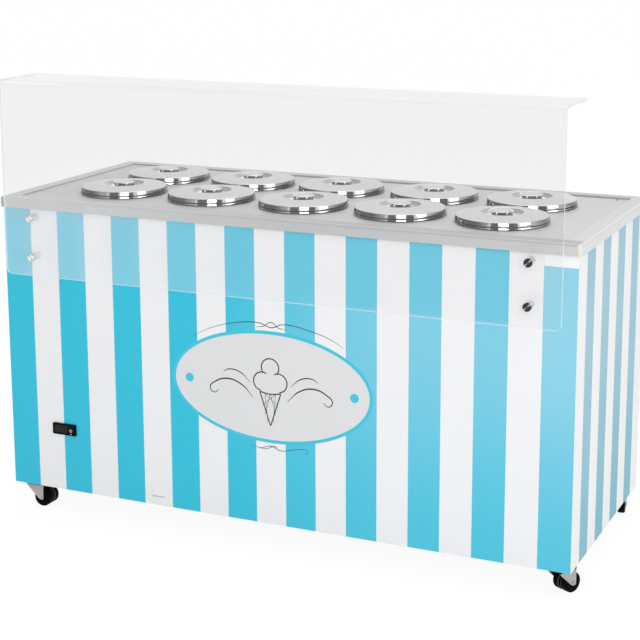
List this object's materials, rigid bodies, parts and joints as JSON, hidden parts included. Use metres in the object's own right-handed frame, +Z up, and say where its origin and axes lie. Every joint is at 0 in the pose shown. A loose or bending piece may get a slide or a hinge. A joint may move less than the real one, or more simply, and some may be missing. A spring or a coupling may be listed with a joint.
{
  "type": "gelato display cabinet",
  "caption": "Refrigerated gelato cabinet on swivel casters: striped panels, steel worktop with round lidded tubs, and a bent clear guard on standoffs.",
  "frame": {"origin": "on the floor, under the middle of the whole outline", "axes": "+X along the cabinet's length to the right of a customer who faces it, -Y towards that customer, +Z up"},
  "size_m": [1.631, 0.715, 1.219],
  "materials": {
    "striped_panel": "gloss stripe wrap",
    "white_panel": "satin",
    "stainless": "brushed",
    "galvanised": "dull",
    "clear_sheet": "clear",
    "chrome": "polished",
    "zinc": "zinc plated",
    "black_plastic": "fine grain",
    "dark_window": "gloss",
    "amber": "gloss",
    "white_plastic": "smooth",
    "wheel": "matt",
    "foam": "cut foam",
    "copper": "drawn",
    "machine_black": "enamelled",
    "rubber_foot": "matt",
    "bare_aluminium": "mill"
  },
  "bodies": {
    "cabinet": {"base_panel": "galvanised", "front_panel": "striped_panel", "left_panel": "striped_panel", "right_panel": "striped_panel", "rear_panel": "white_panel", "worktop": "stainless", "insulation": "foam", "well_liners": "stainless", "support_rails": "galvanised", "evaporator_coil": "copper", "compressor": "machine_black", "compressor_feet": "rubber_foot", "condenser": "bare_aluminium", "fan_shroud": "galvanised", "fan_motor": "machine_black", "refrigerant_lines": "copper", "rear_grille": "white_panel", "rear_screws": "chrome", "power_inlet": "black_plastic", "electrical_box": "white_plastic", "thermostat": "black_plastic", "thermostat_window": "dark_window", "sneeze_guard": "clear_sheet", "standoff_barrels": "chrome", "standoff_caps": "chrome", "blind_plate": "white_plastic", "caster_plates": "zinc", "caster_bolts": "zinc"},
    "fan_rotor": {"fan_rotor": "black_plastic"},
    "thermostat_button": {"thermostat_button": "amber"},
    "tub_1": {"tub_1": "stainless"},
    "lid_1": {"lid_1": "stainless"},
    "tub_2": {"tub_2": "stainless"},
    "lid_2": {"lid_2": "stainless"},
    "tub_3": {"tub_3": "stainless"},
    "lid_3": {"lid_3": "stainless"},
    "tub_4": {"tub_4": "stainless"},
    "lid_4": {"lid_4": "stainless"},
    "tub_5": {"tub_5": "stainless"},
    "lid_5": {"lid_5": "stainless"},
    "tub_6": {"tub_6": "stainless"},
    "lid_6": {"lid_6": "stainless"},
    "tub_7": {"tub_7": "stainless"},
    "lid_7": {"lid_7": "stainless"},
    "tub_8": {"tub_8": "stainless"},
    "lid_8": {"lid_8": "stainless"},
    "tub_9": {"tub_9": "stainless"},
    "lid_9": {"lid_9": "stainless"},
    "tub_10": {"tub_10": "stainless"},
    "lid_10": {"lid_10": "stainless"},
    "caster_fork_1": {"caster_fork_1": "zinc"},
    "caster_wheel_1": {"caster_wheel_1": "wheel"},
    "caster_fork_2": {"caster_fork_2": "zinc"},
    "caster_wheel_2": {"caster_wheel_2": "wheel"},
    "caster_fork_3": {"caster_fork_3": "zinc"},
    "caster_wheel_3": {"caster_wheel_3": "wheel"},
    "caster_fork_4": {"caster_fork_4": "zinc"},
    "caster_wheel_4": {"caster_wheel_4": "wheel"}
  },
  "joints": [
    {"name": "tub_1_lift", "type": "slide", "parent": "cabinet", "child": "tub_1", "axis": [0, 0, 1], "range_m": [0, 0.15]},
    {"name": "lid_1_lift", "type": "slide", "parent": "tub_1", "child": "lid_1", "axis": [0, 0, 1], "range_m": [0, 0.12]},
    {"name": "tub_2_lift", "type": "slide", "parent": "cabinet", "child": "tub_2", "axis": [0, 0, 1], "range_m": [0, 0.15]},
    {"name": "lid_2_lift", "type": "slide", "parent": "tub_2", "child": "lid_2", "axis": [0, 0, 1], "range_m": [0, 0.12]},
    {"name": "tub_3_lift", "type": "slide", "parent": "cabinet", "child": "tub_3", "axis": [0, 0, 1], "range_m": [0, 0.15]},
    {"name": "lid_3_lift", "type": "slide", "parent": "tub_3", "child": "lid_3", "axis": [0, 0, 1], "range_m": [0, 0.12]},
    {"name": "tub_4_lift", "type": "slide", "parent": "cabinet", "child": "tub_4", "axis": [0, 0, 1], "range_m": [0, 0.15]},
    {"name": "lid_4_lift", "type": "slide", "parent": "tub_4", "child": "lid_4", "axis": [0, 0, 1], "range_m": [0, 0.12]},
    {"name": "tub_5_lift", "type": "slide", "parent": "cabinet", "child": "tub_5", "axis": [0, 0, 1], "range_m": [0, 0.15]},
    {"name": "lid_5_lift", "type": "slide", "parent": "tub_5", "child": "lid_5", "axis": [0, 0, 1], "range_m": [0, 0.12]},
    {"name": "tub_6_lift", "type": "slide", "parent": "cabinet", "child": "tub_6", "axis": [0, 0, 1], "range_m": [0, 0.27]},
    {"name": "lid_6_lift", "type": "slide", "parent": "tub_6", "child": "lid_6", "axis": [0, 0, 1], "range_m": [0, 0.15]},
    {"name": "tub_7_lift", "type": "slide", "parent": "cabinet", "child": "tub_7", "axis": [0, 0, 1], "range_m": [0, 0.27]},
    {"name": "lid_7_lift", "type": "slide", "parent": "tub_7", "child": "lid_7", "axis": [0, 0, 1], "range_m": [0, 0.15]},
    {"name": "tub_8_lift", "type": "slide", "parent": "cabinet", "child": "tub_8", "axis": [0, 0, 1], "range_m": [0, 0.27]},
    {"name": "lid_8_lift", "type": "slide", "parent": "tub_8", "child": "lid_8", "axis": [0, 0, 1], "range_m": [0, 0.15]},
    {"name": "tub_9_lift", "type": "slide", "parent": "cabinet", "child": "tub_9", "axis": [0, 0, 1], "range_m": [0, 0.27]},
    {"name": "lid_9_lift", "type": "slide", "parent": "tub_9", "child": "lid_9", "axis": [0, 0, 1], "range_m": [0, 0.15]},
    {"name": "tub_10_lift", "type": "slide", "parent": "cabinet", "child": "tub_10", "axis": [0, 0, 1], "range_m": [0, 0.27]},
    {"name": "lid_10_lift", "type": "slide", "parent": "tub_10", "child": "lid_10", "axis": [0, 0, 1], "range_m": [0, 0.15]},
    {"name": "fan_spin", "type": "hinge", "parent": "cabinet", "child": "fan_rotor", "pos_m": [0.182, 0.2495, 0.2035], "axis": [0, 1, 0], "continuous": true},
    {"name": "button_press", "type": "slide", "parent": "cabinet", "child": "thermostat_button", "axis": [0, 1, 0], "range_m": [0, 0.001], "stiffness_N_per_m": 300},
    {"name": "caster_1_swivel", "type": "hinge", "parent": "cabinet", "child": "caster_fork_1", "pos_m": [-0.7655, -0.2685, 0.075], "axis": [0, 0, 1], "continuous": true},
    {"name": "caster_1_roll", "type": "hinge", "parent": "caster_fork_1", "child": "caster_wheel_1", "pos_m": [-0.7395, -0.26895, 0.0265], "axis": [0.0175, 0.9998, 0], "continuous": true},
    {"name": "caster_2_swivel", "type": "hinge", "parent": "cabinet", "child": "caster_fork_2", "pos_m": [0.7655, -0.2685, 0.075], "axis": [0, 0, 1], "continuous": true},
    {"name": "caster_2_roll", "type": "hinge", "parent": "caster_fork_2", "child": "caster_wheel_2", "pos_m": [0.77771, -0.24554, 0.0265], "axis": [-0.8829, 0.4695, 0], "continuous": true},
    {"name": "caster_3_swivel", "type": "hinge", "parent": "cabinet", "child": "caster_fork_3", "pos_m": [-0.7655, 0.2975, 0.075], "axis": [0, 0, 1], "continuous": true},
    {"name": "caster_3_roll", "type": "hinge", "parent": "caster_fork_3", "child": "caster_wheel_3", "pos_m": [-0.74107, 0.28861, 0.0265], "axis": [0.342, 0.9397, 0], "continuous": true},
    {"name": "caster_4_swivel", "type": "hinge", "parent": "cabinet", "child": "caster_fork_4", "pos_m": [0.7655, 0.2975, 0.075], "axis": [0, 0, 1], "continuous": true},
    {"name": "caster_4_roll", "type": "hinge", "parent": "caster_fork_4", "child": "caster_wheel_4", "pos_m": [0.76188, 0.32325, 0.0265], "axis": [-0.9903, -0.1392, 0], "continuous": true}
  ]
}
